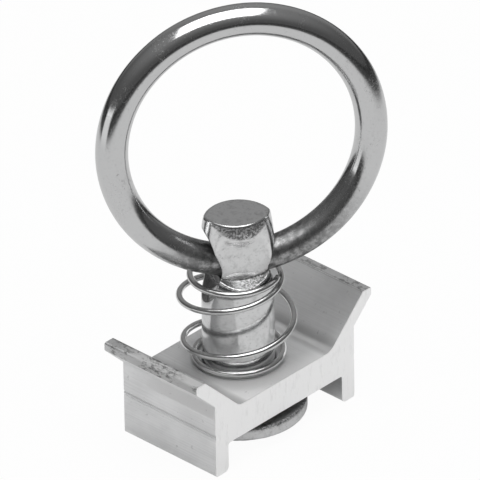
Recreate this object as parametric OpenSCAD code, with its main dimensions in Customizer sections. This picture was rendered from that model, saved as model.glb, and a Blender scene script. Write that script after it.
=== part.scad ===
// Single-stud lashing ring for floor track.
// A forged stud carries a welded ring in its eye. A cut length of extruded channel slides and
// turns on the stud's shank, and a barrel spring between ring and channel pushes it down, so that
// its two legs drop into the track's holes and lock the stud. Millimetres throughout.
// Z is the stud's axis, with zero at the underside of its foot. X is the length of the track.

/* [Slider: extruded locking channel] */
// Length of track that the two legs span, over their outer faces
legs_span = 27.7; // [25.5:0.1:30]
// Thickness of each leg
leg_t = 2.5; // [1.8:0.1:3.2]
// Drop of the legs below the underside of the plate
leg_drop = 4.4; // [3:0.1:6]
// Length cut from the extrusion, across the track
slider_w = 17.3; // [15:0.1:19]
// Thickness of the plate that bears on the track
plate_t = 5.1; // [3.5:0.1:7]
// Flat width on top of the plate, between the feet of the two lips
plate_flat = 18.2; // [17:0.1:20]
// Angle of the finger lips above the plate
lip_angle = 45; // [38:1:52]
// Thickness of the finger lips
lip_t = 2.05; // [1.8:0.05:2.6]
// Height of the finger lips above the plate
lip_rise = 6.6; // [5:0.1:8]
// Height of the upright end of each lip
lip_end_h = 1.2; // [1:0.05:1.5]
// Radius in the corner between plate and lip
lip_root_r = 1.0; // [0.4:0.1:2]
// Radius on the outer edges of the lips
lip_edge_r = 0.6; // [0.2:0.05:0.7]
// Radius on the inner edge under each leg
leg_edge_r = 0.8; // [0.2:0.05:1.1]
// Radius on the small outer edges and inner corners of the extrusion
small_r = 0.35; // [0.1:0.05:0.5]
// Height above the legs' ends of the die line along each flange
groove_rise = 6.4; // [3:0.1:9]
// Width of the die line
groove_w = 0.45; // [0.2:0.05:0.8]
// Depth of the die line
groove_depth = 0.12; // [0.05:0.01:0.3]

/* [Stud] */
// Diameter of the shank
shank_d = 10; // [8.5:0.1:10.6]
// Height of the stud from the underside of its foot to the top of its head
stud_h = 30.95; // [29.5:0.05:34]
// Diameter of the foot that locks under the track
foot_d = 18.6; // [16:0.1:19.6]
// Thickness of the foot
foot_t = 1.8; // [1.4:0.1:2.6]
// Chamfer on the upper edge of the foot
foot_chamfer = 0.3; // [0.1:0.05:0.6]
// Radius where the shank runs into the foot
foot_fillet_r = 1.5; // [1.3:0.1:2.2]
// Radial clearance of the slider's bore round the shank
bore_play = 0.1; // [0.06:0.02:0.2]
// Clearance between the bore's lower edge and the fillet that stops it
seat_gap = 0.04; // [0.02:0.01:0.1]

/* [Head and eye] */
// Thickness of the head across its two pressed flats
head_t = 6.4; // [6:0.1:7.4]
// Height of the lowest point of the flats
flat_low_z = 22.05; // [21.6:0.05:23]
// Radius of the rounded lower end of the flats
flat_end_r = 8; // [6.5:0.1:12]
// Slope of the ledge under the flats, as its drop for each unit outwards
ledge_slope = 0.33; // [0.1:0.01:0.6]
// Overhang of the brow of metal left above each flat
brow_over = 1; // [0.2:0.05:1.2]
// Height of the brow
brow_h = 2.6; // [1.5:0.1:3.5]
// Radius of the brow seen from above
brow_r = 8; // [5.5:0.1:9]
// Radius of each long edge of the head's top, seen from above
pinch_r = 4.75; // [4.5:0.05:5]
// Distance from the stud's axis to the middle of those edges
pinch_half = 3.7; // [3.6:0.05:4.2]
// Growth of that radius for each unit downwards, until it clears the corners of the flats
pinch_slope = 0.22; // [0.2:0.01:0.4]
// Radius on the top edge of the head
head_edge_r = 0.6; // [0.3:0.05:1]
// Clearance with which the bore passes over the head, which the pressing swelled
head_pass = 0.02; // [0.01:0.01:0.05]
// Distance below the flats at which the swell of the head begins
swell_drop = 1.5; // [0.5:0.1:3]
// Height of the eye's centre
eye_z = 23.45; // [23.3:0.05:23.8]
// Diameter of the eye at its throat
eye_d = 5.3; // [5.2:0.05:5.6]
// Diameter at the shank's surface of the belled mouth, through which the ring was fed
eye_bell_d = 11.3; // [9:0.1:12]
// Depth of the bell from the shank's surface
eye_bell_depth = 2.5; // [2:0.1:3]
// Diameter at the shank's surface of the eye's other mouth
eye_mouth_d = 6.9; // [6.6:0.1:8]
// Direction of the eye, turned from the length of the slider
eye_turn = -33.3; // [-90:0.1:90]

/* [Ring] */
// Inside diameter of the ring
ring_inner_d = 31.5; // [30:0.5:40]
// Diameter of the ring's wire
wire_d = 4.5; // [4:0.1:4.5]
// Height at which the spring holds the wire above the eye's centre
wire_lift = 0.15; // [0:0.01:0.16]
// Angle by which the ring leans back from upright
ring_lean = 4; // [0:0.5:15]
// Angle by which the ring has run round to one side through the eye
ring_run = 3.8; // [0:0.1:4]

/* [Spring] */
// Diameter of the spring wire
spring_wire_d = 0.9; // [0.6:0.05:1]
// Radial clearance of the closed end turns round the shank
spring_clear = 0.7; // [0.65:0.05:0.9]
// Gain in radius at the middle of the barrel
spring_barrel = 1.85; // [0.5:0.05:2]
// Closed turns on the plate
closed_low = 0.65; // [0.5:0.05:1]
// Open turns that give the travel
open_turns = 2; // [1.5:0.1:3]
// Closed turns under the ring
closed_top = 0.9; // [0.6:0.05:0.9]
// Share of the open turns, at each of their ends, over which the pitch grows
pitch_ramp = 0.15; // [0.05:0.05:0.5]
// Sideways lean of the spring's top, less than its clearance
spring_lean = 0.6; // [0:0.05:0.6]
// Direction of the lean
lean_to = 80; // [0:1:359]
// Sideways sway of the middle turns
spring_sway = 0.55; // [0:0.05:0.6]
// Direction of the sway
sway_to = 200; // [0:1:359]
// Direction from which the wire of the spring starts on the plate
spring_start = 97; // [0:1:359]
// Clearance of the spring's ends from plate and ring
spring_gap = 0.03; // [0.01:0.01:0.1]

/* [Hidden] */
$fn = 96;

// Stud
shank_r = shank_d / 2;
foot_r = foot_d / 2;
bore_r = shank_r + bore_play;
head_half = head_t / 2;
swell_low_z = flat_low_z - swell_drop;
swell_high_z = stud_h - head_edge_r;
head_swell = bore_play - head_pass;
pinch_in = pinch_r - pinch_half;
flat_corner = sqrt(pow(bore_r, 2) - pow(head_half, 2));
pinch_h = (norm([flat_corner, head_half + pinch_in]) - pinch_r) / pinch_slope;

// The slider comes to rest where its bore meets the fillet between shank and foot
fillet_z = foot_t + foot_fillet_r;
seat_run = foot_fillet_r - bore_play + seat_gap;
seat_z = fillet_z - sqrt(max(0, pow(foot_fillet_r, 2) - pow(seat_run, 2)));

// Slider
plate_top = seat_z + plate_t;
legs_z = seat_z - leg_drop;
leg_out = legs_span / 2;
lip_foot = plate_flat / 2;
lip_cot = 1 / tan(lip_angle);
lip_back = lip_foot + lip_t / sin(lip_angle);
lip_end = lip_back + (lip_rise - lip_end_h) * lip_cot;

// Ring
wire_r = wire_d / 2;
ring_r = (ring_inner_d + wire_d) / 2;
ring_z = eye_z + wire_lift;

// Spring
spring_end_r = shank_r + spring_clear + spring_wire_d / 2;
close_pitch = spring_wire_d * 1.04;
top_from = closed_low + open_turns;
all_turns = top_from + closed_top;
spring_low = plate_top + spring_wire_d / 2 + spring_gap;
open_low = spring_low + closed_low * close_pitch;
// The top turn meets the underside of the ring on the side to which the ring has run
touch_out = spring_end_r + spring_lean * cos(lean_to - eye_turn) - ring_r * sin(ring_run);
touch_slope = asin(touch_out / ring_r);
touch_z = ring_z + ring_r * (1 - cos(touch_slope)) - wire_r / cos(touch_slope)
    - spring_wire_d / 2 - spring_gap;
touch_turn = (eye_turn - spring_start) / 360 - top_from;
open_top = touch_z - min(closed_top, touch_turn - floor(touch_turn)) * close_pitch;
turn_steps = 36;
wire_sides = 10;

// Arc of radius r that rounds the corner at b between a and c, as points
function unit(v) = v / norm(v);
function corner(a, b, c, r, n = 5) =
    let (u = unit(a - b), w = unit(c - b))
    let (half = acos(u * w) / 2, reach = r / tan(half))
    let (mid = b + unit(u + w) * r / sin(half))
    let (p = b + u * reach, q = b + w * reach)
    let (a0 = atan2(p[1] - mid[1], p[0] - mid[0]), a1 = atan2(q[1] - mid[1], q[0] - mid[0]))
    let (turn = a1 - a0, sweep = turn > 180 ? turn - 360 : turn < -180 ? turn + 360 : turn)
    [for (i = [0 : n]) mid + r * [cos(a0 + sweep * i / n), sin(a0 + sweep * i / n)]];

// One side of the extrusion from the middle of its top to the middle of its underside.
// Each entry is x, z and the radius of that corner
half_corners = [
    [lip_foot, plate_top, lip_root_r],
    [lip_foot + lip_rise * lip_cot, plate_top + lip_rise, small_r],
    [lip_end, plate_top + lip_rise, lip_edge_r],
    [lip_end, plate_top + lip_rise - lip_end_h, small_r],
    [leg_out, plate_top + (leg_out - lip_back) / lip_cot, small_r],
    [leg_out, legs_z + groove_rise + groove_w / 2, 0],
    [leg_out - groove_depth, legs_z + groove_rise, 0],
    [leg_out, legs_z + groove_rise - groove_w / 2, 0],
    [leg_out, legs_z, small_r],
    [leg_out - leg_t, legs_z, leg_edge_r],
    [leg_out - leg_t, seat_z, small_r]
];
ends = concat([[0, plate_top, 0]], half_corners, [[0, seat_z, 0]]);
function flat2(p) = [p[0], p[1]];
half_outline = [
    for (i = [1 : len(ends) - 2])
        each ends[i][2] > 0
            ? corner(flat2(ends[i - 1]), flat2(ends[i]), flat2(ends[i + 1]), ends[i][2])
            : [flat2(ends[i])]
];
outline = concat(
    half_outline,
    [for (i = [len(half_outline) - 1 : -1 : 0]) [-half_outline[i][0], half_outline[i][1]]]
);

module slider() {
    color([0.80, 0.81, 0.82])
    difference() {
        rotate([90, 0, 0]) linear_extrude(slider_w, center = true) polygon(outline);
        translate([0, 0, seat_z - 1]) cylinder(h = plate_t + 2, r = bore_r);
    }
}

// The turned outline of the stud: foot, fillet, shank, swollen head and rounded top edge
fillet_arc = [
    for (i = [0 : 8])
        [shank_r + foot_fillet_r * (1 - cos(90 - i * 90 / 8)),
         foot_t + foot_fillet_r * (1 - sin(90 - i * 90 / 8))]
];
swell_arc = [
    for (i = [1 : 9])
        [shank_r + head_swell * pow(sin(i * 18), 2),
         swell_low_z + (swell_high_z - swell_low_z) * i / 10]
];
edge_arc = [
    for (i = [0 : 6])
        [shank_r - head_edge_r * (1 - cos(i * 15)), stud_h - head_edge_r * (1 - sin(i * 15))]
];
module stud_blank() {
    rotate_extrude()
        polygon(concat(
            [[0, 0], [foot_r, 0], [foot_r, foot_t - foot_chamfer], [foot_r - foot_chamfer, foot_t]],
            fillet_arc, [[shank_r, swell_low_z]], swell_arc, edge_arc, [[0, stud_h]]
        ));
}

// Pocket pressed into one side of the head: a flat with a round lower end, a sloping ledge
// under it, and a brow left standing over it
module flat_pocket() {
    brow_tilt = atan(brow_over / brow_h);
    pocket_t = shank_r;
    difference() {
        translate([0, -head_half, flat_low_z + flat_end_r])
            rotate([90, 0, 0])
                cylinder(h = pocket_t, r1 = flat_end_r, r2 = flat_end_r + ledge_slope * pocket_t);
        translate([0, brow_r - head_half - brow_over, stud_h])
            rotate([brow_tilt, 0, 0])
                translate([0, 0, -brow_h - 4]) cylinder(h = brow_h + 9, r = brow_r);
    }
}

// What the squeezing takes off one side of the head's top, outside an upright cone
module pinch() {
    wide = shank_r + 2;
    difference() {
        translate([-wide, -wide, stud_h - pinch_h]) cube([2 * wide, 2 * wide, pinch_h + 1]);
        translate([0, pinch_in, stud_h - pinch_h - 1])
            cylinder(h = pinch_h + 3, r1 = pinch_r + (pinch_h + 1) * pinch_slope,
                r2 = pinch_r - 2 * pinch_slope);
    }
}

// Eye: its throat widens to both mouths with the square of the depth, as the ring's own curve
// does. The mouth towards minus X is belled as well, in an S curve
function ease(u) = u * u * (3 - 2 * u);
function bell(h) = ease(min(1, max(0, 1 - (shank_r + h) / eye_bell_depth)));
function eye_radius(h) =
    eye_d / 2 + (eye_mouth_d - eye_d) / 2 * pow(h / shank_r, 2)
        + (eye_bell_d - eye_mouth_d) / 2 * bell(h);
eye_steps = 12;
module eye_cutter() {
    reach = shank_r + 1;
    rotate([0, 90, 0]) rotate_extrude()
        polygon(concat(
            [[0, -reach]],
            [for (i = [-eye_steps : eye_steps])
                let (h = reach * i / eye_steps) [eye_radius(h), h]],
            [[0, reach]]
        ));
}

module stud() {
    color([0.74, 0.75, 0.77])
    rotate([0, 0, eye_turn])
    difference() {
        stud_blank();
        for (side = [0, 180]) rotate([0, 0, side]) {
            flat_pocket();
            pinch();
        }
        translate([0, 0, eye_z]) eye_cutter();
    }
}

module ring() {
    color([0.70, 0.71, 0.73])
    translate([0, 0, ring_z])
        rotate([0, 0, eye_turn]) rotate([-ring_lean, 0, 0]) rotate([0, ring_run, 0])
            translate([0, 0, ring_r]) rotate([90, 0, 0])
                rotate_extrude() translate([ring_r, 0]) circle(r = wire_r, $fn = 48);
}

// Centre line of the spring wire after t turns. Its pitch is even over the open turns, and grows
// and falls again over a short ramp at each of their ends
function open_part(t) = min(1, max(0, (t - closed_low) / open_turns));
function ramped(u) =
    (u < pitch_ramp ? u * u / (2 * pitch_ramp)
        : u > 1 - pitch_ramp ? 1 - pitch_ramp - pow(1 - u, 2) / (2 * pitch_ramp)
        : u - pitch_ramp / 2) / (1 - pitch_ramp);
open_rise = open_top - open_low - open_turns * close_pitch;
function spring_z(t) = spring_low + t * close_pitch + open_rise * ramped(open_part(t));
function spring_point(t) =
    let (u = open_part(t), a = spring_start + 360 * t)
    let (r = spring_end_r + spring_barrel * sin(180 * u))
    let (lean = spring_lean * ease(u), sway = spring_sway * sin(180 * u))
    [r * cos(a) + lean * cos(lean_to) + sway * cos(sway_to),
     r * sin(a) + lean * sin(lean_to) + sway * sin(sway_to),
     spring_z(t)];

module spring() {
    count = ceil(all_turns * turn_steps);
    sections = [
        for (i = [0 : count])
            let (t = all_turns * i / count, p = spring_point(t))
            let (run = unit(spring_point(t + 0.002) - spring_point(t - 0.002)))
            let (side = unit(cross(run, [0, 0, 1])), rise = cross(side, run))
            [for (k = [0 : wire_sides - 1])
                p + spring_wire_d / 2 * (cos(360 * k / wire_sides) * side
                    + sin(360 * k / wire_sides) * rise)]
    ];
    last = count * wire_sides;
    color([0.60, 0.61, 0.63])
    polyhedron(
        points = [for (s = sections) each s],
        faces = concat(
            [[for (k = [wire_sides - 1 : -1 : 0]) k]],
            [for (i = [0 : count - 1], k = [0 : wire_sides - 1])
                let (a = i * wire_sides, b = a + wire_sides, n = (k + 1) % wire_sides)
                [a + k, a + n, b + n, b + k]],
            [[for (k = [0 : wire_sides - 1]) last + k]]
        )
    );
}

stud();
slider();
ring();
spring();
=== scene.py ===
# %% [markdown]
# # A lashing ring for floor track
#
# The object is a small tie-down fitting for the slotted track in the floor of a van. A forged stud
# carries a welded ring in its eye. A cut length of aluminium extrusion slides on the stud's shank,
# and a thin barrel spring pushes it down onto the track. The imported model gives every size, so this
# file takes care of what the eye sees: fine surfaces, four metals, and the light that they mirror.

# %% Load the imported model
import math

import bpy
import numpy as np
from mathutils import Matrix, Vector


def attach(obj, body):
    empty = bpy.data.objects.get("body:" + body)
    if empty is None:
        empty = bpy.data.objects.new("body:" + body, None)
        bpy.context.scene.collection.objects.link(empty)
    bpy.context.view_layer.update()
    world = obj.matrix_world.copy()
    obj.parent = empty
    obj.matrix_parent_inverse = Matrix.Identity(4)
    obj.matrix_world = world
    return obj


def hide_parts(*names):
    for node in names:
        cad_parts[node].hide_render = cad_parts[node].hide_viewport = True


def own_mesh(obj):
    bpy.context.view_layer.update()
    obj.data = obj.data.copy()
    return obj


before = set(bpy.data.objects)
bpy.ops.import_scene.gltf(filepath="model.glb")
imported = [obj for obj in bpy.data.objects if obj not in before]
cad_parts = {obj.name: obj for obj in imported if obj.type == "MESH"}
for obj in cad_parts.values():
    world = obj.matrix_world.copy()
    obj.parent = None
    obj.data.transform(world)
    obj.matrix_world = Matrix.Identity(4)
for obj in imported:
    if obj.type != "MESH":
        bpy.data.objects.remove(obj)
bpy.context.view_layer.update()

MM = 0.001

# %% [markdown]
# ## The camera
#
# A photographer takes such a small part from over a metre away with a long lens, so its edges stay
# nearly parallel. The camera looks down on a corner. Its place was worked out from corners whose
# sizes are known, and it is turned by hand here: three perpendicular directions make the columns of
# its matrix, which leaves nothing to a tracking constraint.

# %% Camera
AZIMUTH, ELEVATION, ROLL = (math.radians(a) for a in (-46.298, 31.693, -0.957))
DISTANCE = 1335 * MM
LENS, SENSOR = 732.8, 36  # millimetres
PLATE_TOP = 7.98  # height of the slider plate's upper face, in millimetres
AIM_RIGHT, AIM_UP = 0.143, 15.765  # millimetres from the stud's axis on that face to the picture's middle

back = Vector((math.sin(AZIMUTH) * math.cos(ELEVATION),
               -math.cos(AZIMUTH) * math.cos(ELEVATION), math.sin(ELEVATION)))
level = Vector((math.cos(AZIMUTH), math.sin(AZIMUTH), 0))
upward = back.cross(level)
cam_x = level * math.cos(ROLL) + upward * math.sin(ROLL)
cam_y = upward * math.cos(ROLL) - level * math.sin(ROLL)
aim = Vector((0, 0, PLATE_TOP * MM)) + cam_x * (AIM_RIGHT * MM) + cam_y * (AIM_UP * MM)

lens_data = bpy.data.cameras.new("long_lens")
lens_data.lens, lens_data.sensor_width = LENS, SENSOR
lens_data.clip_start, lens_data.clip_end = 0.05, 20
camera = bpy.data.objects.new("camera", lens_data)
bpy.context.scene.collection.objects.link(camera)
turned = Matrix((cam_x, cam_y, back)).transposed().to_4x4()
camera.matrix_world = Matrix.Translation(aim + back * DISTANCE) @ turned
bpy.context.scene.camera = camera
bpy.context.scene.view_settings.view_transform = "Standard"
print("camera at", [round(c, 3) for c in camera.matrix_world.translation])

# %% [markdown]
# ## Surfaces from arrays
#
# Every new piece but the stud is made of sheets of points worked out by numpy. A sheet has rows and
# columns, and either way may close on itself like a tube. `sheet_faces` numbers the four corners of
# each patch, and `make_piece` puts whole arrays of points and faces into a mesh, so no Python loop
# touches a vertex.

# %% Helpers for meshes
def sheet_faces(rows, columns, close_rows=False, close_columns=False):
    """Patch (i, j) has the corners (i, j), (i+1, j), (i+1, j+1) and (i, j+1).

    Where a way closes, the count goes round it and starts again.
    """
    i, j = np.meshgrid(np.arange(rows - (not close_rows)),
                       np.arange(columns - (not close_columns)), indexing="ij")
    i, j = i.ravel(), j.ravel()
    i1, j1 = (i + 1) % rows, (j + 1) % columns
    return np.stack([i * columns + j, i1 * columns + j, i1 * columns + j1, i * columns + j1], 1)


def make_piece(name, points, faces, smooth=True):
    """A mesh object from points in millimetres and one array of faces with four corners each."""
    mesh = bpy.data.meshes.new(name)
    mesh.vertices.add(len(points))
    mesh.vertices.foreach_set("co", (np.asarray(points, float) * MM).ravel())
    mesh.loops.add(faces.size)
    mesh.loops.foreach_set("vertex_index", faces.astype(np.int32).ravel())
    mesh.polygons.add(len(faces))
    mesh.polygons.foreach_set(
        "loop_start", np.arange(0, faces.size, faces.shape[1], dtype=np.int32))
    mesh.polygons.foreach_set("use_smooth", np.full(len(faces), smooth))
    mesh.update(calc_edges=True)
    mesh.validate()
    piece = bpy.data.objects.new(name, mesh)
    bpy.context.scene.collection.objects.link(piece)
    print(name, len(points), "points", len(faces), "faces")
    return piece


def point_value(piece, name, values):
    """Keeps one number for each point, for the materials to read."""
    piece.data.attributes.new(name, "FLOAT", "POINT").data.foreach_set(
        "value", np.asarray(values, np.float32).ravel())


def turn(angle, axis):
    """Rotation by an angle in degrees about x, y or z."""
    return np.array(Matrix.Rotation(math.radians(angle), 3, axis))


# %% [markdown]
# ## The ring
#
# The ring is drawn wire, bent round and welded shut inside the eye. A torus primitive would do, but
# bent wire is never quite round: it flattens a little on the inside of the bend and keeps faint
# waves. Two sines, a fiftieth of a millimetre high together, bend the reflections as on real wire.
# Each point also keeps how many degrees it lies from the eye, because that is where the ring wears and
# where shade from the stud is painted on it, and on one side both end sooner. One fault is known: the
# order of the corners leaves the faces of this mesh looking inward.

# %% Ring
EYE_TURN, RING_LEAN, RING_RUN = -33.3, 4, 3.8
RING_R, WIRE_R, RING_Z = 18, 2.25, 23.6
RING_ROWS, RING_SIDES = 384, 64
WAVE = 0.02  # height of the waves, and of the flattening inside the bend
LESS_WORN_AND_SHADED = 1.7  # the wear and the painted shade near the eye end so many times sooner on one side


def ring_points():
    """Round the ring by u and round the wire by v: the wire's radius is WIRE_R less a wave of u and v."""
    u = np.linspace(0, 2 * np.pi, RING_ROWS, endpoint=False)[:, None]
    v = np.linspace(0, 2 * np.pi, RING_SIDES, endpoint=False)[None, :]
    wave = 0.5 + 0.25 * np.sin(5 * u + 2 * v + 1) + 0.25 * np.sin(11 * u - v)
    wire = WIRE_R - WAVE * wave - WAVE * (1 + np.cos(v - np.pi)) / 2
    out = RING_R + wire * np.cos(v)
    flat = np.stack([out * np.cos(u), -wire * np.sin(v) + 0 * u, out * np.sin(u)], -1).reshape(-1, 3)
    turned_by = turn(EYE_TURN, "Z") @ turn(-RING_LEAN, "X") @ turn(RING_RUN, "Y")
    return (flat + [0, 0, RING_R]) @ turned_by.T + [0, 0, RING_Z]


ring = make_piece("ring_wire", ring_points(), sheet_faces(RING_ROWS, RING_SIDES, True, True)[:, ::-1])
from_eye = (np.linspace(0, 360, RING_ROWS, endpoint=False) + 90 + 180) % 360 - 180
from_eye = np.where(from_eye < 0, -LESS_WORN_AND_SHADED, 1) * from_eye
point_value(ring, "from_eye", np.repeat(from_eye, RING_SIDES))
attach(ring, "ring")
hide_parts("ring")

# %% [markdown]
# ## The spring
#
# A spring is a profile carried along a path. The path is the one of the imported model: a closed turn on
# the plate, two open turns that swell into a barrel, and a closed turn under the ring. Coiled wire is
# never true, so the barrel sways to one side and its top leans to another. A circle of twenty points
# follows the path, held upright by the path's own direction. At both ends three circles that shrink
# quickly make the cut wire's end. One fault is known: the last of them, 0.002 mm across, is left open.
# When fingers lift the slider, the real spring shortens between plate and ring.

# %% Spring
SPRING_WIRE = 0.9
LOW_TURNS, OPEN_TURNS, TOP_TURNS, RAMP = 0.65, 2, 0.9, 0.15
END_R, BARREL, START = 6.15, 1.85, 97
LEAN, LEAN_TO, SWAY, SWAY_TO = 0.6, 80, 0.55, 200
SPRING_ROWS, WIRE_SIDES = 480, 20
SPRING_GAP = 0.03  # clearance from plate and ring
SPRING_LOW = PLATE_TOP + SPRING_WIRE / 2 + SPRING_GAP
PITCH = SPRING_WIRE * 1.04
END_RADII = 0.001, 0.33, 0.42  # of the last three circles, counted from the wire's end
END_STEPS = np.array([0.0004, 0.0016])  # turns from the wire's end to the next two circles


def spring_path(turns):
    """Middle of the wire after so many turns.

    It lies END_R + BARREL sin(pi u) from an axis that leans and sways. Its height grows by PITCH a
    turn, and over the open turns by the rest as well, with a ramp of the pitch at each end.
    """
    out = (END_R + LEAN * math.cos(math.radians(LEAN_TO - EYE_TURN))
           - RING_R * math.sin(math.radians(RING_RUN)))
    touch = math.asin(out / RING_R)
    under_ring = (RING_Z + RING_R * (1 - math.cos(touch)) - WIRE_R / math.cos(touch)
                  - SPRING_WIRE / 2 - SPRING_GAP)
    meets = ((EYE_TURN - START) / 360 - LOW_TURNS - OPEN_TURNS) % 1
    open_rise = under_ring - SPRING_LOW - (min(TOP_TURNS, meets) + LOW_TURNS + OPEN_TURNS) * PITCH
    u = np.clip((turns - LOW_TURNS) / OPEN_TURNS, 0, 1)
    late = np.where(u > 1 - RAMP, 1 - RAMP - (1 - u) ** 2 / (2 * RAMP), u - RAMP / 2)
    ramped = np.where(u < RAMP, u * u / (2 * RAMP), late) / (1 - RAMP)
    angle, bulge, ease = np.radians(START + 360 * turns), np.sin(np.pi * u), u * u * (3 - 2 * u)
    middle = [LEAN * ease * f(math.radians(LEAN_TO)) + SWAY * bulge * f(math.radians(SWAY_TO))
              for f in (math.cos, math.sin)]
    radius = END_R + BARREL * bulge
    return np.stack([radius * np.cos(angle) + middle[0], radius * np.sin(angle) + middle[1],
                     SPRING_LOW + turns * PITCH + open_rise * ramped], -1)


def carried_circle(path, radius):
    """A circle of that radius at each point of the path, square to it and upright, as a sheet."""
    run = np.gradient(path, axis=0)
    run /= np.linalg.norm(run, axis=1, keepdims=True)
    side = np.cross(run, [0, 0, 1])
    side /= np.linalg.norm(side, axis=1, keepdims=True)
    lift = np.cross(side, run)
    v = np.linspace(0, 2 * np.pi, WIRE_SIDES, endpoint=False)[None, :, None]
    ring_of = np.cos(v) * side[:, None, :] + np.sin(v) * lift[:, None, :]
    return (path[:, None, :] + np.asarray(radius)[:, None, None] * ring_of).reshape(-1, 3)


turns = np.linspace(0, LOW_TURNS + OPEN_TURNS + TOP_TURNS, SPRING_ROWS)
wire = np.full(len(turns), SPRING_WIRE / 2)
wire[[0, -1]], wire[[1, -2]], wire[[2, -3]] = END_RADII
turns[[1, 2]], turns[[-2, -3]] = turns[0] + END_STEPS, turns[-1] - END_STEPS
spring = make_piece("spring_coil", carried_circle(spring_path(turns), wire),
                    sheet_faces(SPRING_ROWS, WIRE_SIDES, False, True))
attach(spring, "spring")
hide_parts("spring")
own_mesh(spring)

# %% [markdown]
# ## The stud, as a field
#
# The stud is forged: the head is squeezed flat on two sides and the eye is punched and belled, so
# every edge is soft. Cutting a lathe shape with booleans leaves knife edges and ragged shading. Here
# the stud is one formula instead, which gives the distance from any point to the metal. Two small
# functions join or cut two shapes with a true radius, as a blacksmith's tool does, and each cut of
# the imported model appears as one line.

# %% Field of the stud
HEAD_HALF, FLAT_Z, FLAT_END, LEDGE = 3.2, 22.05, 8, 0.33
TOP_Z, EYE_Z, SHANK_R, FOOT_R, FOOT_T = 30.95, 23.45, 5, 9.3, 1.8
SWELL, SWELL_FROM, SWELL_LONG = 0.08, 20.55, 9.8  # the pressing bulges the head a little
TOP_ROUND, FOOT_FILLET, FOOT_ROUND, SOLE_ROUND = 0.6, 1.5, 0.28, 0.2
THROAT, FLARE, BELL, BELL_DEPTH = 2.65, 0.8, 2.2, 2.5
BROW_R, BROW_OVER, BROW_TILT = 8, 3.8, math.atan2(1.0, 2.6)
PINCH_R, PINCH_OVER, PINCH_SLOPE, PINCH_FROM = 4.75, 1.05, 0.22, 26


def joined(a, b, radius):
    """Both shapes together, with a fillet of that radius in the corner between them."""
    return (np.maximum(radius, np.minimum(a, b))
            - np.hypot(np.maximum(radius - a, 0), np.maximum(radius - b, 0)))


def common(a, b, radius):
    """What both shapes share, with the edge between them rounded to that radius."""
    return (np.minimum(-radius, np.maximum(a, b))
            + np.hypot(np.maximum(radius + a, 0), np.maximum(radius + b, 0)))


def eye_radius(along):
    """Throat, widened to both mouths with the square of the depth, and belled towards minus."""
    u = np.clip(1 - (SHANK_R + along) / BELL_DEPTH, 0, 1)
    return THROAT + FLARE * (along / SHANK_R) ** 2 + BELL * u * u * (3 - 2 * u)


def stud_shapes(along, across, z):
    """Distances to blank, pocket (with its flat, ledge and brow) and eye, and to the ledge by itself."""
    r = np.hypot(along, across)
    swell = SWELL * np.sin(np.pi * np.clip((z - SWELL_FROM) / SWELL_LONG, 0, 1)) ** 2
    shank = common(r - SHANK_R - swell, z - TOP_Z, TOP_ROUND)
    blank = joined(shank, z - FOOT_T, FOOT_FILLET)
    blank = common(common(blank, r - FOOT_R, FOOT_ROUND), -z, SOLE_ROUND)
    depth = np.abs(across)
    from_end = np.hypot(along, z - FLAT_Z - FLAT_END) - FLAT_END
    ledge = (from_end - LEDGE * (depth - HEAD_HALF)) / 1.05
    over = (depth + BROW_OVER) * math.cos(BROW_TILT) - (z - TOP_Z) * math.sin(BROW_TILT)
    brow = BROW_R - np.hypot(along, over)
    pocket = common(common(HEAD_HALF - depth, ledge, 0.20), brow, 0.25)
    pinch = np.hypot(along, depth + PINCH_OVER) - PINCH_R - PINCH_SLOPE * (TOP_Z - z)
    pinch = np.where(z > PINCH_FROM, 0.97 * pinch, -3)
    blank = common(blank, pinch, 0.42 + 0.18 * np.tanh(across))
    eye = 0.8 * (np.hypot(across, z - EYE_Z) - eye_radius(along))
    return blank, pocket, eye, ledge


def stud_field(p):
    """Blank without pocket and eye. The pressing left larger radii at the head's corners."""
    along, across, z = np.moveaxis(p, -1, 0)
    blank, pocket, eye, _ = stud_shapes(along, across, z)
    corner = np.clip((z - 26.5) / 4, 0, 1)
    return common(common(blank, -pocket, 0.22 + 0.35 * corner), -eye, 0.22)


# %% [markdown]
# ## From a field to a skin
#
# The field is read on a grid of cells. Where it changes sign along a cell's edge, the skin passes
# through. Each such cell gets one point at the middle of its crossings, and each crossed edge gets
# one patch between the four cells round it. A few steps down the field's slope then bring every
# point close to the metal's surface. The grid is fine at the head and coarse along the plain shank.

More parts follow.
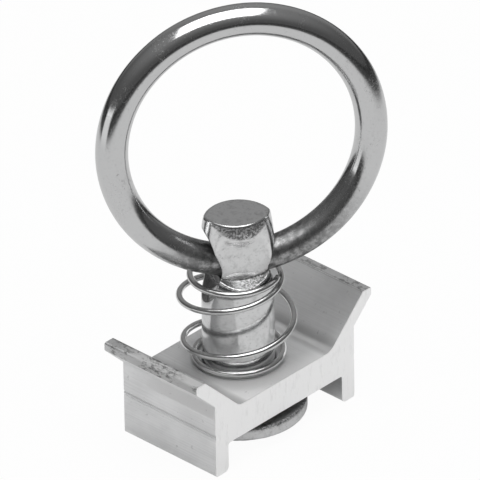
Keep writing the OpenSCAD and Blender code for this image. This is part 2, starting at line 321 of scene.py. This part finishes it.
# %% Skin of a field
def skin_of(field, axes):
    """Points at the mean of each cell's crossings and one patch for each crossed edge."""
    grid = np.stack(np.meshgrid(*axes, indexing="ij"), -1)
    f = field(grid)
    cells = tuple(n - 1 for n in f.shape)
    total, count = np.zeros(cells + (3,)), np.zeros(cells)
    crossed = []
    for axis in range(3):
        low = [slice(None)] * 3
        high = [slice(None)] * 3
        low[axis], high[axis] = slice(None, -1), slice(1, None)
        a, b = f[tuple(low)], f[tuple(high)]
        hit = (a < 0) != (b < 0)
        share = np.where(hit, a / np.where(hit, a - b, 1), 0)[..., None]
        at = grid[tuple(low)] + share * (grid[tuple(high)] - grid[tuple(low)])
        crossed.append((hit, a < 0))
        one, two = [d for d in range(3) if d != axis]
        for s in (0, 1):
            for t in (0, 1):
                cut = [slice(None)] * 3
                cut[one] = slice(s, s + cells[one])
                cut[two] = slice(t, t + cells[two])
                count += hit[tuple(cut)]
                total += at[tuple(cut)] * hit[tuple(cut)][..., None]
    used = count > 0
    number = np.full(cells, -1)
    number[used] = np.arange(used.sum())
    points = total[used] / count[used][:, None]
    faces = []
    for axis, (hit, inside) in enumerate(crossed):
        i = np.stack(np.nonzero(hit), 1)
        one, two = [d for d in range(3) if d != axis]
        e1, e2 = np.eye(3, dtype=int)[one], np.eye(3, dtype=int)[two]
        quad = np.stack([number[tuple((i - s * e1 - t * e2).T)]
                         for s, t in ((1, 1), (0, 1), (0, 0), (1, 0))], 1)
        flip = inside[hit] == (axis == 1)
        quad[flip] = quad[flip][:, ::-1]
        faces.append(quad)
    for _ in range(4):
        step = 0.01
        slope = np.stack([(field(points + step * e) - field(points - step * e)) / (2 * step)
                          for e in np.eye(3)], -1)
        points = points - field(points)[:, None] * slope / np.maximum((slope ** 2).sum(-1), 0.2)[:, None]
    return points, np.concatenate(faces)


def spaced(*stops):
    """Grid lines over stretches with their own spacing: value, spacing, value, and so on."""
    lines = [np.linspace(a, b, max(2, round((b - a) / step) + 1))[:-1]
             for a, step, b in zip(stops[0:-2:2], stops[1:-1:2], stops[2::2])]
    return np.concatenate(lines + [[stops[-1]]])


wide = spaced(-9.62, 0.28, -5.3, 0.11, 5.3, 0.28, 9.62)
tall = spaced(-0.3, 0.12, 3.6, 0.5, 19.5, 0.11, 31.2)
local, stud_faces = skin_of(stud_field, (wide, wide, tall))
stud = make_piece("stud_forged", local @ turn(EYE_TURN, "Z").T, stud_faces)

# %% [markdown]
# ## Where the stud is worn and where it is rough
#
# The tool leaves smooth flats, a torn ledge under them and a dark crescent over them. The ledge's crease
# and the crescent under the top's edge are darkened partly as painted shade. Handling polishes the proud
# edges, and their lighter colour is partly a painted highlight. Each point is given four numbers: how
# close it lies to a proud edge, how torn and shaded it is, whether it lies on the foot, and how close it
# lies to the eye's wall, which is darkened as painted shade. Edges, ledge and eye follow from the field.
# The crescent has a formula of its own, shaped after the photograph, and it is smaller than the pressed
# brow. The foot's upper rim, which lies partly under the plate, counts as torn and shaded too.

# %% Wear of the stud
CRESCENT_LOW, CRESCENT_TOP, CRESCENT_CURVE, CRESCENT_HALF = 2.25, 0.22, 0.13, 3.9
TOP_RIM_R, TOP_RIM_Z, FOOT_RIM_R, FOOT_RIM_Z = 4.8, 30.75, 9.12, 1.68

blank, pocket, eye, ledge = stud_shapes(*local.T)
along, across, up = local.T
from_axis = np.hypot(along, across)
near = lambda a, b, width: np.exp(-(a * a + b * b) / (2 * width * width))
# Proud edges are rubbed bright by handling, and their lighter colour is partly a painted highlight.
edge = np.maximum.reduce([near(blank, pocket, 0.13), near(blank, eye, 0.16), near(pocket, eye, 0.13),
                          near(from_axis - TOP_RIM_R, up - TOP_RIM_Z, 0.18)])
below_flat = (np.abs(across) > HEAD_HALF - 0.12) * (up < PINCH_FROM)
# The ledge is rough torn metal, and its darkening in the crease is partly painted shade.
torn_and_shaded = np.exp(-(ledge / 0.32) ** 2) * below_flat * np.clip(0.85 + 0.20 * along, 0.5, 1.5)
# The crescent under the top's edge is rough, and its darkening is partly painted shade.
above = up - (TOP_Z - CRESCENT_LOW + CRESCENT_CURVE * (np.abs(along) - 0.3) ** 2)
crescent = ((np.abs(across) > 1.8) * np.clip(above / 0.3, 0, 1)
            * np.clip((TOP_Z - CRESCENT_TOP - up) / 0.12, 0, 1) * (np.abs(along) < CRESCENT_HALF))
# The foot's rim lies partly under the plate, and its darkening is partly painted shade.
foot_rim = near(from_axis - FOOT_RIM_R, up - FOOT_RIM_Z, 0.22)
point_value(stud, "proud_edge", edge)
point_value(stud, "torn_and_shaded", np.maximum.reduce([torn_and_shaded, crescent, foot_rim]))
point_value(stud, "foot", np.clip((3.6 - up) / 0.6, 0, 1))
# The eye's wall is darkened as painted shade.
point_value(stud, "shade_in_eye", np.exp(-(eye / 0.3) ** 2))
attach(stud, "stud")
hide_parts("stud")

# %% [markdown]
# ## The slider
#
# The slider is a length sawn off an extrusion. Its section is one outline of corners, each with its
# own radius, so an arc function turns the corner list into points. The long faces are that outline
# carried across the track. The plate's top and underside have a round hole, so each is a fan of
# patches between the hole's circle and the face's straight sides. A saw leaves no knife edge either:
# a collar of three narrow rows rounds the outline into the sawn face. The legs' outer faces carry the
# fine double groove that the die leaves there.

# %% Section of the slider
SEAT_Z, LEG_DROP, LEG_OUT, LEG_T = 2.88, 4.4, 13.85, 2.5
LIP_FOOT, LIP_T, LIP_RISE, LIP_END_H, HALF_W = 9.1, 2.05, 6.6, 1.2, 8.65
LEGS_Z, LIP_TOP = SEAT_Z - LEG_DROP, PLATE_TOP + LIP_RISE
BORE_R, BORE_EDGE, BURR = 5.1, 0.15, 0.09
ROOT_ROUND, POINT_ROUND, ROUND, LEG_ROUND = 1.8, 0.14, 0.35, 0.8
GROOVE_DEPTH, GROOVE_HEIGHTS = 0.09, (6.9, 6.65, 6.4, 6.15, 5.9)  # heights over the legs' ends


def arc(a, b, c, radius, steps):
    """Points of the arc that rounds the corner at b between a and c."""
    a, b, c = (np.array(q, float) for q in (a, b, c))
    u, w = (a - b) / np.linalg.norm(a - b), (c - b) / np.linalg.norm(c - b)
    half = math.acos(float(u @ w)) / 2
    middle = b + (u + w) / np.linalg.norm(u + w) * radius / math.sin(half)
    p, q = b + u * radius / math.tan(half), b + w * radius / math.tan(half)
    a0, a1 = (math.atan2(*(e - middle)[::-1]) for e in (p, q))
    sweep = (a1 - a0 + math.pi) % (2 * math.pi) - math.pi
    angles = a0 + sweep * np.linspace(0, 1, steps + 1)
    return middle + radius * np.stack([np.cos(angles), np.sin(angles)], -1)


lip_back = LIP_FOOT + LIP_T * math.sqrt(2)
lip_end = lip_back + LIP_RISE - LIP_END_H
corners = [
    (0, PLATE_TOP, 0), (LIP_FOOT, PLATE_TOP, ROOT_ROUND), (LIP_FOOT + LIP_RISE, LIP_TOP, POINT_ROUND),
    (lip_end, LIP_TOP, ROUND), (lip_end, LIP_TOP - LIP_END_H, ROUND),
    (LEG_OUT, PLATE_TOP + LEG_OUT - lip_back, ROUND),
    *((LEG_OUT - GROOVE_DEPTH * (i % 2), LEGS_Z + h, 0) for i, h in enumerate(GROOVE_HEIGHTS)),
    (LEG_OUT, LEGS_Z, ROUND), (LEG_OUT - LEG_T, LEGS_Z, LEG_ROUND),
    (LEG_OUT - LEG_T, SEAT_Z, ROUND), (0, SEAT_Z, 0),
]
right_side = np.concatenate([
    arc(a[:2], b[:2], c[:2], b[2], 8) if b[2] else np.array([b[:2]])
    for a, b, c in zip(corners, corners[1:], corners[2:])])
left_side = right_side[::-1] * [-1, 1]
print("section of", len(right_side), "points a side")

# %% Skins of the slider
across_y = np.linspace(-1, 1, 41)
across_y = np.sign(across_y) * (1 - (1 - np.abs(across_y)) ** 1.4) * (HALF_W - BURR)
share_x = np.linspace(-1, 1, 33)[1:-1]


def side_skin(side):
    """One side of the section, carried along y."""
    points = np.stack(
        np.broadcast_arrays(side[:, None, 0], across_y[None, :], side[:, None, 1]), -1)
    return points.reshape(-1, 3), sheet_faces(len(side), len(across_y))


def round_the_face(half_x):
    """The straight sides of the plate's face, as one closed run of points in x and y."""
    xs, y = share_x * half_x, HALF_W - BURR
    return np.concatenate([
        np.stack([np.full(len(across_y), half_x), across_y], -1),
        np.stack([xs[::-1], np.full(len(xs), y)], -1),
        np.stack([np.full(len(across_y), -half_x), across_y[::-1]], -1),
        np.stack([xs, np.full(len(xs), -y)], -1)])


half_top, half_low = right_side[0, 0], right_side[-1, 0]
top_run, low_run = round_the_face(half_top), round_the_face(half_low)
to_circle = top_run / np.linalg.norm(top_run, axis=1, keepdims=True)


def lift(xy, z):
    """Points in x and y, put at a height."""
    return np.concatenate([xy, np.full((len(xy), 1), z)], 1)


def fan(run, z, shares):
    """Rows between the hole's edge, at share 0, and the straight sides, at share 1."""
    return [lift(to_circle * (BORE_R + BORE_EDGE) * (1 - t) + run * t, z) for t in shares]


SHARES = (0, 0.2, 0.45, 0.7, 0.93, 1)
bore_heights = PLATE_TOP - BORE_EDGE, PLATE_TOP - 0.6, SEAT_Z + 0.6, SEAT_Z + BORE_EDGE
rows = (fan(top_run, PLATE_TOP, SHARES[::-1]) + [lift(to_circle * BORE_R, z) for z in bore_heights]
        + fan(low_run, SEAT_Z, SHARES))
plate_points = np.concatenate(rows)
plate_faces = sheet_faces(len(rows), len(top_run), False, True)

outline = np.concatenate([
    right_side, np.stack([(share_x * half_low)[::-1], np.full(len(share_x), SEAT_Z)], -1),
    left_side, np.stack([share_x * half_top, np.full(len(share_x), PLATE_TOP)], -1)])


def collar(end):
    """The outline rounded into the sawn face over a quarter circle of radius BURR.

    At the angle a, a row has moved in by BURR (1 - cos a) and out along y by BURR sin a.
    """
    ahead, behind = np.roll(outline, -1, 0) - outline, outline - np.roll(outline, 1, 0)
    ahead, behind = (e / np.linalg.norm(e, axis=1, keepdims=True) for e in (ahead, behind))
    way = ahead + behind
    way /= np.linalg.norm(way, axis=1, keepdims=True)
    inward = np.stack([way[:, 1], -way[:, 0]], -1)
    steps = np.radians([0, 30, 60, 90])[:, None, None]
    flat = outline + inward * BURR * (1 - np.cos(steps))
    y = end * (HALF_W - BURR + BURR * np.sin(steps)) + 0 * flat[..., :1]
    return np.concatenate([flat[..., :1], y, flat[..., 1:]], -1).reshape(-1, 3)


parts = [side_skin(right_side), side_skin(left_side), (plate_points, plate_faces)]
parts += [(collar(end), sheet_faces(4, len(outline), False, True)) for end in (-1, 1)]
starts = np.cumsum([0] + [len(p) for p, _ in parts])
slider = make_piece("slider_extruded", np.concatenate([p for p, _ in parts]),
                    np.concatenate([f + s for (_, f), s in zip(parts, starts)]))

# %% [markdown]
# The sheets meet point on point, so the doubles are merged, the two sawn faces are filled across
# their last row, and the normals are worked out afresh. Weighted normals keep the big faces flat in
# the light, although small arcs touch them.

# %% Close the slider
import bmesh

work = bmesh.new()
work.from_mesh(slider.data)
bmesh.ops.remove_doubles(work, verts=work.verts, dist=0.002 * MM)
for end in (-1, 1):
    rim = [e for e in work.edges
           if e.is_boundary and all(v.co.y * end > (HALF_W - 0.001) * MM for v in e.verts)]
    bmesh.ops.contextual_create(work, geom=rim)
bmesh.ops.recalc_face_normals(work, faces=work.faces)
open_edges = sum(e.is_boundary for e in work.edges)
for face in work.faces:
    face.smooth = True
work.to_mesh(slider.data)
work.free()
slider.data.set_sharp_from_angle(angle=math.radians(25))
weights = slider.modifiers.new("true_flats", "WEIGHTED_NORMAL")
weights.keep_sharp = True
weights.weight = 100
print("slider: open edges left", open_edges, "faces", len(slider.data.polygons))
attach(slider, "slider")
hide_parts("slider")

# %% [markdown]
# ## Sums on shaders
#
# A material is a sum of masks and noises, and sums read best as sums. `Signal` holds one socket and
# adds a Math node whenever it meets an operator. `Finish` starts a metal and makes every other node
# through one method: its type, its settings, and what its sockets hold.

# %% Signals and finishes
class Signal:
    """One output socket. Operators on it add Math nodes, and plain numbers may stand on either side."""

    def __init__(self, tree, socket):
        self.tree, self.socket = tree, socket

    def math(self, operation, *others, clamp=False):
        return add(self.tree, "ShaderNodeMath", {"operation": operation, "use_clamp": clamp},
                   dict(enumerate((self, *others))))

    def __add__(self, other): return self.math("ADD", other)
    def __mul__(self, other): return self.math("MULTIPLY", other)
    def __sub__(self, other): return self.math("SUBTRACT", other)
    def __rsub__(self, other):
        return add(self.tree, "ShaderNodeMath", {"operation": "SUBTRACT"}, {0: other, 1: self})

    def __gt__(self, other): return self.math("GREATER_THAN", other)
    def __pow__(self, other): return self.math("POWER", other)
    def __abs__(self): return self.math("ABSOLUTE")
    __radd__, __rmul__ = __add__, __mul__

    def clamped(self): return self.math("MAXIMUM", 0).math("MINIMUM", 1)

    def ramp(self, low, high, to_low=0, to_high=1):
        """Smoothly from one value to the other while the signal goes from low to high."""
        return add(self.tree, "ShaderNodeMapRange", {"interpolation_type": "SMOOTHSTEP"},
                   {0: self, 1: low, 2: high, 3: to_low, 4: to_high})


def add(tree, kind, settings=None, values=None, output=0):
    """A node of that type with its settings, then a value or a link for each socket; gives one output."""
    node = tree.nodes.new(kind)
    for key, value in (settings or {}).items():
        setattr(node, key, value)
    for key, value in (values or {}).items():
        if isinstance(value, Signal):
            tree.links.new(value.socket, node.inputs[key])
        else:
            node.inputs[key].default_value = value
    return Signal(tree, node.outputs[output]) if len(node.outputs) else node


class Finish:
    """A metal: one Principled shader whose pattern reads object coordinates in millimetres."""

    def __init__(self, name):
        self.material = bpy.data.materials.new(name)
        self.material.use_nodes = True
        self.tree = self.material.node_tree
        self.shader = self.tree.nodes["Principled BSDF"]
        self.shader.inputs["Metallic"].default_value = 1
        place = self.make("ShaderNodeTexCoord", output="Object")
        self.place = self.make("ShaderNodeVectorMath", {"operation": "SCALE"}, {0: place, "Scale": 1 / MM})

    def make(self, kind, settings=None, values=None, output=0):
        return add(self.tree, kind, settings, values, output)

    def value(self, name):
        return self.make("ShaderNodeAttribute", {"attribute_name": name}, output="Fac")

    def axis(self, name):
        return self.make("ShaderNodeSeparateXYZ", None, {0: self.place}, output=name)

    def noise(self, per_mm, detail=3, stretch=(1, 1, 1), rough=0.55, shift=0):
        """Noise from 0 to 1 with so many features a millimetre, stretched along the axes."""
        at = self.make("ShaderNodeMapping", None, {
            "Vector": self.place, "Location": (shift,) * 3, "Scale": tuple(1 / s for s in stretch)})
        return self.make("ShaderNodeTexNoise", None, {
            "Vector": at, "Scale": per_mm, "Detail": detail, "Roughness": rough})

    def mix(self, share, a, b):
        """Colour a where the share is 0 and colour b where it is 1."""
        return self.make("ShaderNodeMix", {"data_type": "RGBA"}, {0: share, 6: a, 7: b}, output=2)

    def bump(self, height, micron):
        """A Bump node for a height signal whose full stroke is that many microns."""
        return self.make("ShaderNodeBump", None,
                         {"Height": height, "Distance": micron * 1e-6, "Strength": 1.0})

    def wear(self, *objects, **sockets):
        """Sets the shader's sockets and puts the finish on the objects."""
        for key, value in sockets.items():
            socket = self.shader.inputs[key.replace("_", " ")]
            if isinstance(value, Signal):
                self.tree.links.new(value.socket, socket)
            else:
                socket.default_value = value
        for o in objects:
            o.data.materials.clear()
            o.data.materials.append(self.material)


def grey(level, tint=0.0):
    """A grey, a little cooler with a positive tint."""
    return (level * (1 - tint), level, level * (1 + tint), 1)


# %% [markdown]
# ## Bright drawn wire
#
# The ring is bright plated steel. It mirrors the room, but not cleanly: the wire was drawn through a die
# and then tumbled, so it has long faint waves and fine pits. Where it runs in the eye it is rubbed dull
# and grey, and there its grey is also painted shade from the stud. The mask reads how many degrees a point
# lies from the eye. Fine dull specks lie all over the wire.

# %% Finish of the ring
bright = Finish("bright_wire")
pits = bright.noise(3, 3, rough=0.7).ramp(0.62, 0.72)
patches = bright.noise(0.16, 4, rough=0.65).ramp(0.48, 0.72)
speckle = bright.noise(1.1, 5, rough=0.7, shift=4)
# Near the eye the wire is rubbed, and the same mask paints the stud's shade onto it there.
eye_wear_and_shade = bright.value("from_eye").ramp(76, 24) * (0.55 + speckle.ramp(0.36, 0.60) * 0.45)
scratches = bright.noise(2.4, 2, stretch=(0.35, 0.35, 4), rough=0.8, shift=9).ramp(0.66, 0.74)
specks = bright.noise(3.2, 4, rough=0.8, shift=13).ramp(0.53, 0.63) * (0.30 + patches * 0.70)
waves = bright.noise(0.35, 1)
fine = bright.noise(2.2, 4, rough=0.7)
dulled = (eye_wear_and_shade * 1.2 + patches * 0.35).clamped()
height = waves * 0.55 + fine * 0.12 - pits * 0.08 - scratches * 0.05 + speckle * eye_wear_and_shade * 0.16
# The darker base colour sums pits, scratches, the eye's wear and painted shade from the stud.
soiled_and_shaded = (pits * 0.25 + scratches * 0.25 + eye_wear_and_shade * 0.9).clamped()
bright.wear(
    ring,
    Base_Color=bright.mix(soiled_and_shaded, grey(0.59, 0.004), grey(0.12)),
    Roughness=0.10 + dulled * 0.22 + fine * 0.05 + pits * 0.12 + specks * 0.34,
    Normal=bright.bump(height, 22))

# %% [markdown]
# ## Spring wire
#
# Spring wire is drawn harder and thinner, and it stays bright. A fine even grain stands for its
# marks.

# %% Finish of the spring
coil = Finish("spring_wire")
grain = coil.noise(3, 3, rough=0.7)
coil.wear(
    spring,
    Base_Color=coil.mix(grain.ramp(0.40, 0.80), grey(0.62), grey(0.48)),
    Roughness=0.09 + grain * 0.10,
    Normal=coil.bump(grain, 4))

# %% [markdown]
# ## Forged and plated steel
#
# The stud was hot once. Its skin has shallow scale pits under the plating, which show as grey mottles. The
# torn ledge, the crescent over the flats and the foot's rim are rough and dark, and their darkness is
# partly painted shade in the crease, under the top's edge and under the plate. The inside of the eye is
# darkened as painted shade, the foot is duller than the rest, and the proud edges are rubbed bright and
# partly lightened as a painted highlight.

# %% Finish of the stud
forged = Finish("plated_steel")
proud, tearing_and_shade, shade_in_eye, foot = (forged.value(n) for n in ("proud_edge", "torn_and_shaded", "shade_in_eye", "foot"))
mottle = forged.noise(0.9, 5, rough=0.72)
scale_pits = forged.noise(3.2, 3, rough=0.6, shift=7).ramp(0.58, 0.70)
blotch = forged.noise(0.3, 2, stretch=(1, 1, 1.6), shift=3)
grit = forged.noise(3.6, 4, rough=0.75)
# The dark colour sums real scale pits and mottles with painted shade in the eye, in the ledge's crease,
# under the top's edge and on the foot's rim.
dark = (tearing_and_shade * (0.22 + grit.ramp(0.44, 0.54) * 0.70) + scale_pits * 0.30
        + mottle.ramp(0.46, 0.70) * 0.26 + shade_in_eye * 0.5).clamped()
# Proud edges get a lighter colour that is partly a painted highlight.
forged.wear(
    stud,
    Base_Color=forged.mix(dark, forged.mix(proud * 0.7, grey(0.66, 0.004), grey(0.82)), grey(0.14)),
    Roughness=(0.10 + mottle * 0.10 + tearing_and_shade * 0.22 + scale_pits * 0.1 + foot * 0.26
               - proud * 0.04).clamped(),
    Normal=forged.bump(blotch * 0.50 + mottle * 0.30 + grit * tearing_and_shade * 0.7 - scale_pits * 0.04, 45))

# %% [markdown]
# ## Extruded and sawn aluminium
#
# An extrusion carries fine straight lines from its die, all the way across the track. The sawn faces
# have no such lines: the saw leaves short scratches of its own, and they look paler and flatter.
# Which finish applies follows from the place alone, because the sawn faces are the two end planes.
# The lips' roots are darkened as painted shade, their upper edges are darker, dirt lies in a band on their
# end faces, and the nearest corner of the plate is paler as painted light and duller.

# %% Finish of the slider
alu = Finish("extruded_aluminium")
x, y, z = (alu.axis(a) for a in "XYZ")


def along_line(line_x, line_z, reach):
    """1 on the two lines across the track at plus and minus line_x, falling smoothly to 0 at the reach."""
    return ((abs(x) - line_x) ** 2 + (z - line_z) ** 2).ramp(reach ** 2, 0)


# The lips' roots are darkened as painted shade.
painted_root_shade = along_line(LIP_FOOT + 0.15, PLATE_TOP + 0.2, 2.0)
lip_top = along_line(LIP_FOOT + LIP_RISE + 0.05, LIP_TOP, 0.28)
lip_band = z.ramp(LIP_TOP - 1.35, LIP_TOP - 1.15) * abs(x).ramp(15.5, 15.9)
sawn = abs(y) > (HALF_W - 0.05)
drawn = 1 - sawn
die_lines = alu.noise(5, 3, stretch=(1, 120, 1), rough=0.7)
broad_lines = alu.noise(0.9, 2, stretch=(1, 60, 1))
haze = alu.noise(0.25, 3, shift=11)
saw_marks = alu.noise(1.5, 3, stretch=(1, 1, 4), rough=0.7, shift=5)
bite = alu.noise(9, 2, shift=2)
rubs = alu.noise(2.6, 4, stretch=(1, 2.5, 1), rough=0.75, shift=21)
patchy = alu.noise(0.22, 1, shift=4).ramp(0.40, 0.50)
nicks = alu.noise(1.1, 3, rough=0.6, shift=31).ramp(0.66, 0.72)
# Towards the plate's nearest corner the colour is lifted as painted light, and the surface is made duller.
near_corner = (y * -1 - x * 0.5).ramp(0.5, 7.5) * (z > PLATE_TOP - 0.3)
# This darkening sums dirt on the lips' end faces, nicks, darker upper edges and painted shade in the
# roots.
grime_and_shade = (lip_band * (0.30 + rubs.ramp(0.48, 0.60) * patchy * 0.55) + painted_root_shade * 0.40
         + lip_top * 0.3 + nicks * 0.25).clamped()
alu_height = (drawn * (die_lines * 0.30 + broad_lines * 0.25 - grime_and_shade * 0.4)
              + sawn * (saw_marks * 0.8 + bite * 0.3))
drawn_colour = alu.mix((haze * 0.5 + die_lines * 0.5).ramp(0.35, 0.65),
                       grey(0.81, 0.004), grey(0.72, 0.004))
alu.wear(
    slider,
    Base_Color=alu.mix(sawn, alu.mix(grime_and_shade, alu.mix(near_corner, drawn_colour, grey(0.90)), grey(0.22)),
                       alu.mix(saw_marks.ramp(0.52, 0.72), grey(0.985), grey(0.90))),
    Roughness=(drawn * (0.42 + near_corner * 0.34 + haze * 0.08 + die_lines * 0.08)
               + sawn * (0.36 + bite * 0.10)),
    Normal=alu.bump(alu_height, 14))

# %% [markdown]
# ## The studio
#
# Bare metal has no colour of its own to speak of. It shows the room, so the room is the finish: one
# broad soft lamp overhead, a little towards the camera, a pale table, and walls in shade. The walls
# are darkest just over the table's edge and pale again low on the left, where a white card stands.
# The camera itself sees plain white behind the object. Metal sees only a twelfth of that white,
# because the ring in the photograph mirrors a dark room. Clear things would see all of it.

# %% Soft lamp
lamp_data = bpy.data.lights.new("soft_lamp", "AREA")
LAMP_WIDE, LAMP_DEEP, LAMP_WATTS = 1.05, 0.92, 9.6
LAMP_TO, LAMP_OUT, LAMP_HEIGHT = math.radians(-128), 0.16, 1.0  # azimuth, and metres from the part
lamp_data.shape, lamp_data.size, lamp_data.size_y = "RECTANGLE", LAMP_WIDE, LAMP_DEEP
lamp_data.energy = LAMP_WATTS
lamp = bpy.data.objects.new("soft_lamp", lamp_data)
bpy.context.scene.collection.objects.link(lamp)
lamp_at = Vector((math.cos(LAMP_TO) * LAMP_OUT, math.sin(LAMP_TO) * LAMP_OUT, LAMP_HEIGHT))
lamp.matrix_world = Matrix.Translation(lamp_at) @ Matrix.Rotation(LAMP_TO, 4, "Z")

# %% Room behind the lamp
CARD_AT = 157  # azimuth of the white card, in degrees
CARD_EDGE = 0.92, 0.96  # cosines between which the card fades out on both sides
CARD_GLOW, MIRRORED_WHITE = 1.5, 0.08
world = bpy.data.worlds.new("studio")
bpy.context.scene.world = world
world.use_nodes = True
room = world.node_tree
room.nodes.clear()
way = add(room, "ShaderNodeTexCoord", output="Generated")
way_x, way_y, way_z = (add(room, "ShaderNodeSeparateXYZ", None, {0: way}, output=a) for a in "XYZ")


def towards_azimuth(degrees):
    """1 where a ray leaves level in that direction, falling to 0 at right angles to it."""
    return way_x * math.cos(math.radians(degrees)) + way_y * math.sin(math.radians(degrees))


card = towards_azimuth(CARD_AT).ramp(*CARD_EDGE) * (1 - way_z.ramp(0.02, 0.08))
walls = (way_z.ramp(0.15, 0.85, 0.03, 0.19) + towards_azimuth(40).ramp(0.40, 1.0) * 0.21
         + card * CARD_GLOW)
tint = add(room, "ShaderNodeCombineColor", None, {0: walls, 1: walls, 2: walls})
camera_ray, glossy_ray, clear_ray = (
    add(room, "ShaderNodeLightPath", output=f"Is {kind} Ray")
    for kind in ("Camera", "Glossy", "Transmission"))
seen = (camera_ray + clear_ray + glossy_ray * MIRRORED_WHITE).clamped()
shade = add(room, "ShaderNodeBackground", None, {"Color": tint, "Strength": 1.0})
white = add(room, "ShaderNodeBackground", None, {"Color": (1, 1, 1, 1), "Strength": 1.0})
both = add(room, "ShaderNodeMixShader", None, {0: seen, 1: shade, 2: white})
add(room, "ShaderNodeOutputWorld", None, {0: both})

# %% [markdown]
# ## The table
#
# The table is one plain pale sheet at the height of the legs' ends. The camera sees almost only its
# own light, so it is white with a faint shadow. A mirror sees a real sheet of paper on a dark table:
# it ends 15 to 24 cm from the middle, except towards the white card, and close to the object it gives
# no light of its own, because the object shades it. From below it is clear, so that the underside of
# the object can be looked at too.

# %% Table
TABLE_HALF, TABLE_GAP = 4.0, 0.02  # metres, and millimetres under the legs' ends
PAPER_END, SHADE_END = (0.15, 0.24), (0.006, 0.016)  # metres from the middle
CARD_SIDE_GLOW, PAPER_GLOW, CAMERA_WHITE = 0.62, 0.34, 0.96
corners_of_table = np.array([(-1, -1, 0), (1, -1, 0), (1, 1, 0), (-1, 1, 0)]) * TABLE_HALF / MM
table = make_piece("table", corners_of_table + [0, 0, LEGS_Z - TABLE_GAP],
                   np.array([[0, 1, 2, 3]]), smooth=False)
paper = bpy.data.materials.new("table_paper")
paper.use_nodes = True
sheet = paper.node_tree
sheet.nodes.clear()


def blend(share, a, b):
    """Shader a where the share is 0 and shader b where it is 1."""
    return add(sheet, "ShaderNodeMixShader", None, {0: share, 1: a, 2: b})


fibre = add(sheet, "ShaderNodeTexNoise", None, {"Scale": 900.0, "Detail": 2.0})
pale = add(sheet, "ShaderNodeMix", {"data_type": "RGBA"},
           {0: fibre, 6: grey(0.80), 7: grey(0.84)}, output=2)
dull = add(sheet, "ShaderNodeBsdfDiffuse", None, {"Color": pale})
shaded = add(sheet, "ShaderNodeBsdfDiffuse", None, {"Color": grey(0.08)})
glow = add(sheet, "ShaderNodeEmission", None, {"Color": (1, 1, 1, 1), "Strength": 1.0})
clear = add(sheet, "ShaderNodeBsdfTransparent")
by_camera, by_mirror, by_glass = (
    add(sheet, "ShaderNodeLightPath", output=f"Is {kind} Ray")
    for kind in ("Camera", "Glossy", "Transmission"))
here = add(sheet, "ShaderNodeTexCoord", output="Object")
from_middle = add(sheet, "ShaderNodeVectorMath", {"operation": "LENGTH"}, {0: here}, output=1)
paper_end, unshaded = from_middle.ramp(*PAPER_END), from_middle.ramp(*SHADE_END)
heading = add(sheet, "ShaderNodeVectorMath", {"operation": "NORMALIZE"}, {0: here})
card_way = (math.cos(math.radians(CARD_AT)), math.sin(math.radians(CARD_AT)), 0)
to_card = add(sheet, "ShaderNodeVectorMath", {"operation": "DOT_PRODUCT"},
              {0: heading, 1: card_way}, output=1).ramp(*CARD_EDGE)
own_light = by_mirror * (to_card * paper_end * CARD_SIDE_GLOW + unshaded * PAPER_GLOW)
beyond = blend(by_mirror * paper_end * (1 - to_card), blend(own_light, dull, glow), shaded)
lit = blend(by_camera * CAMERA_WHITE + by_glass * CAMERA_WHITE, beyond, glow)
from_below = add(sheet, "ShaderNodeNewGeometry", output="Backfacing")
add(sheet, "ShaderNodeOutputMaterial", None, {0: blend(from_below, lit, clear)})
table.data.materials.append(paper)
